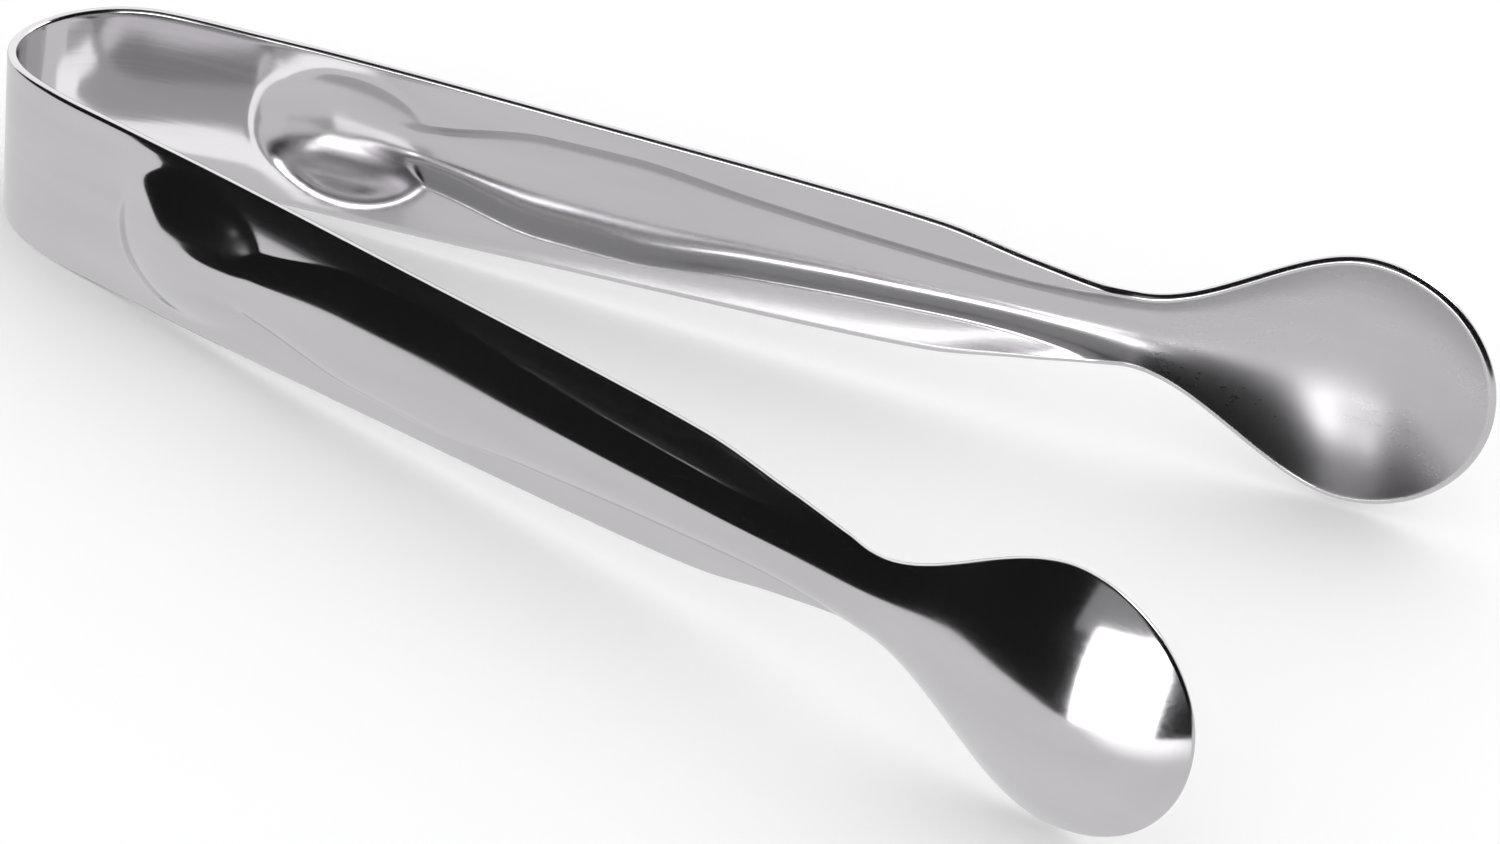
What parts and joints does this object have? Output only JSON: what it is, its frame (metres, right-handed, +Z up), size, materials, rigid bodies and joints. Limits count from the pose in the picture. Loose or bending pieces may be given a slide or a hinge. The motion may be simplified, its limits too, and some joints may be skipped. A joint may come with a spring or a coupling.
{
  "type": "ice tongs",
  "caption": "Spring tongs pressed from one steel strip: a U-shaped bow, ribbed arms and facing spoon bowls that pick up ice.",
  "frame": {"origin": "centre of the bounding box's bottom face, on the surface the tongs lie on", "axes": "+X from the bow to the bowls, +Y towards the left arm, +Z up, across the strip's width; the tongs lie on edge, on the bow's lower edge and both bowls"},
  "size_m": [0.1508, 0.078, 0.0285],
  "materials": {
    "steel": "polished stainless steel sheet, bright outside and satin inside"
  },
  "bodies": {
    "bow": {"bow": "steel", "left_leg": "steel", "right_leg": "steel"},
    "left_arm": {"left_shank": "steel", "left_neck": "steel", "left_bowl": "steel"},
    "right_arm": {"right_shank": "steel", "right_neck": "steel", "right_bowl": "steel"}
  },
  "joints": [
    {"name": "left_arm_squeeze", "type": "hinge", "parent": "bow", "child": "left_arm", "pos_m": [-0.06642, 0.0082, 0.00954], "axis": [0.037, 0, -0.9993], "range_deg": [-2, 13.8], "stiffness_Nm_per_rad": 11.6},
    {"name": "right_arm_squeeze", "type": "hinge", "parent": "bow", "child": "right_arm", "pos_m": [-0.06642, -0.0082, 0.00954], "axis": [-0.037, 0, 0.9993], "range_deg": [-2, 13.8], "stiffness_Nm_per_rad": 11.6}
  ],
  "couplings": [
    {"joint": "right_arm_squeeze", "follows": "left_arm_squeeze", "ratio": 1}
  ]
}
